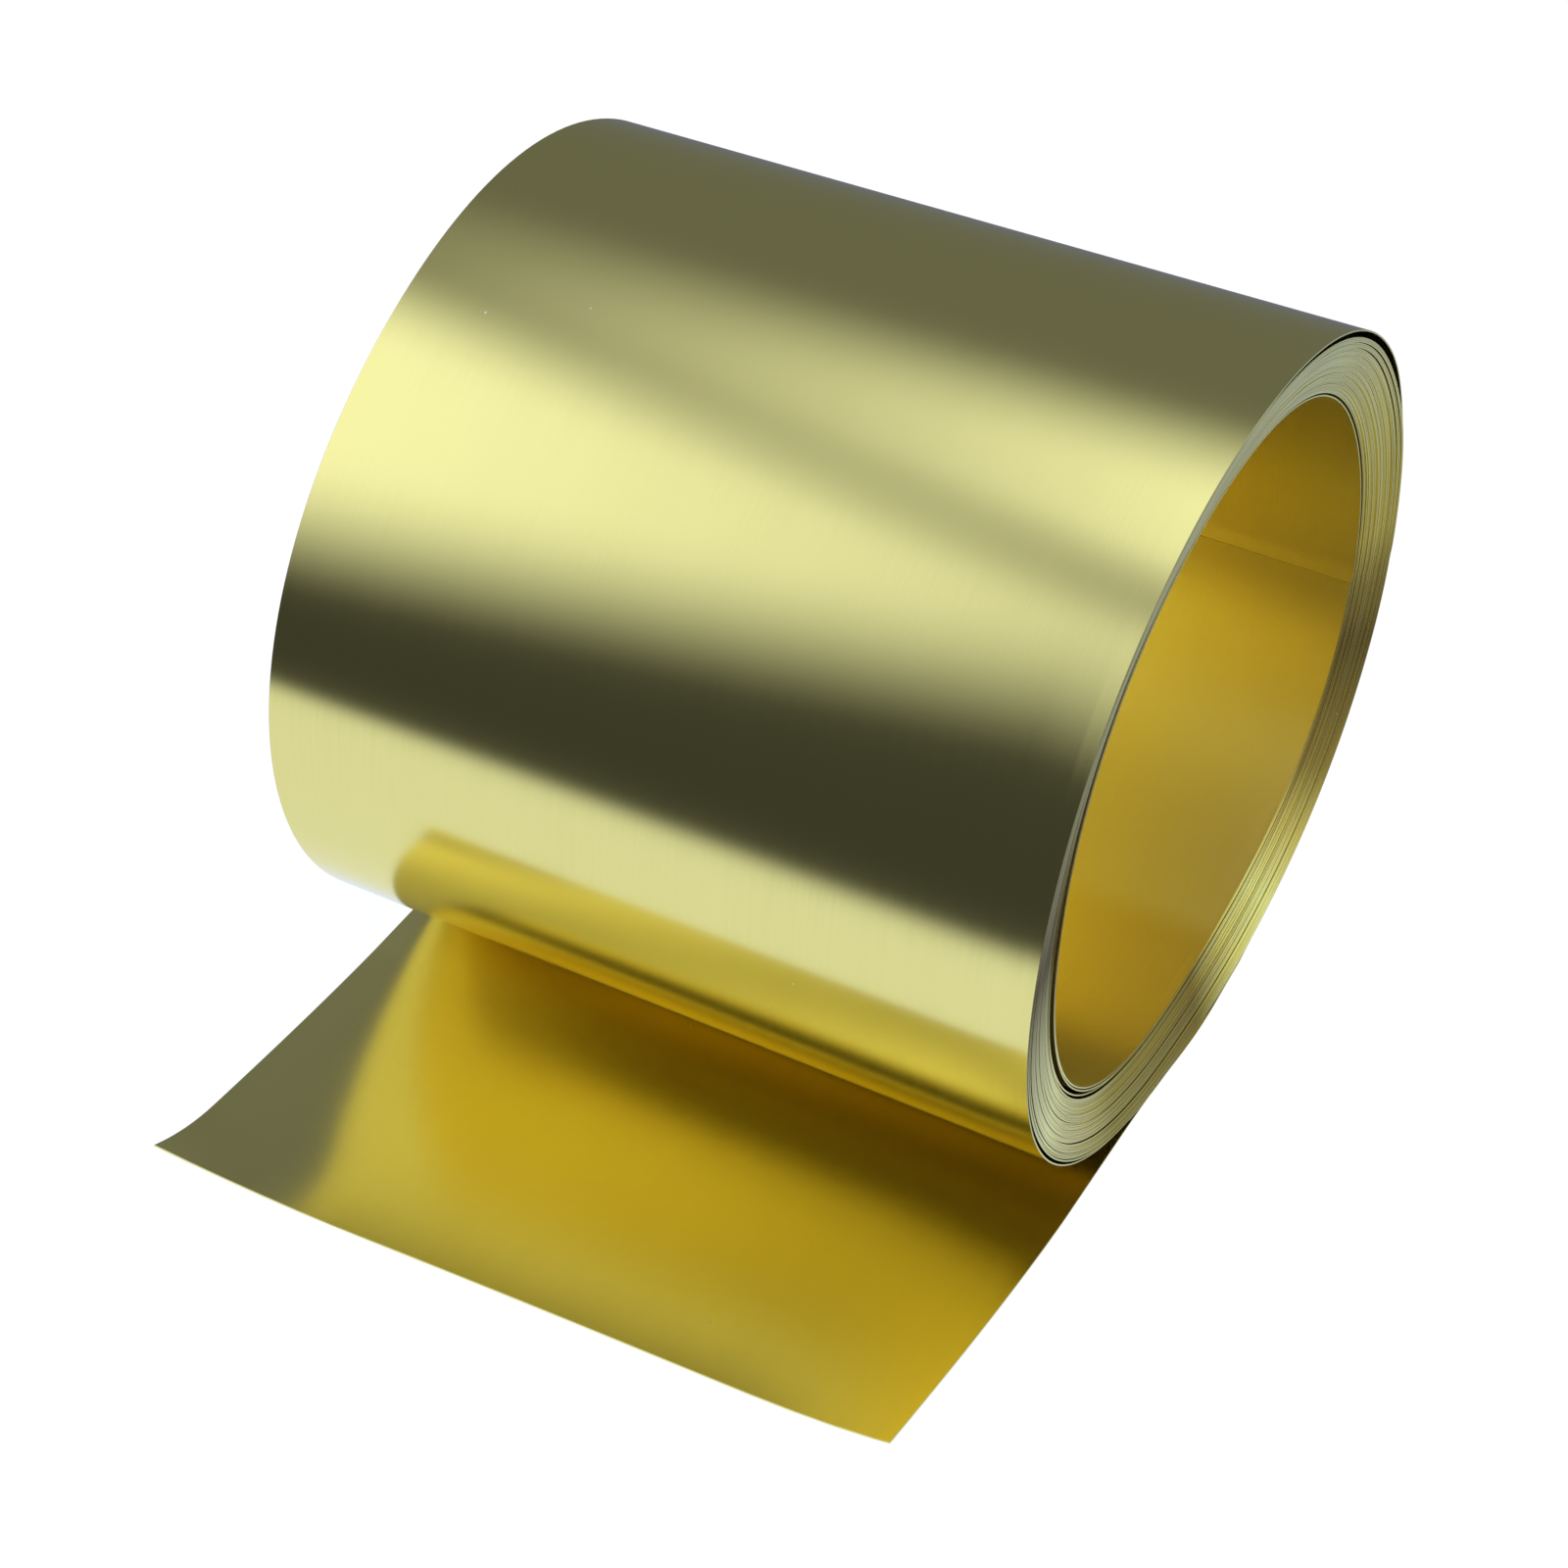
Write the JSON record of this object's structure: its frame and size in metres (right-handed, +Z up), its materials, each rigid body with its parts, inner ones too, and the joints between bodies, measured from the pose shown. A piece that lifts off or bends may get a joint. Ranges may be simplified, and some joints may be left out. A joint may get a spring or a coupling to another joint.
{
  "type": "roll of brass strip",
  "caption": "Roll of thin brass strip lying on its side, wound loosely round an open bore, with its free end lying in front and curling up.",
  "frame": {"origin": "on the axis of the roll's bore, halfway along the strip's width", "axes": "+X along the bore, out of the end that shows its turns; -Y the way the free end points; +Z up"},
  "size_m": [0.1018, 0.1349, 0.1019],
  "materials": {
    "brass": "bright rolled brass with a fine grain along the strip"
  },
  "bodies": {
    "root": {"brass_strip": "brass"}
  },
  "joints": []
}
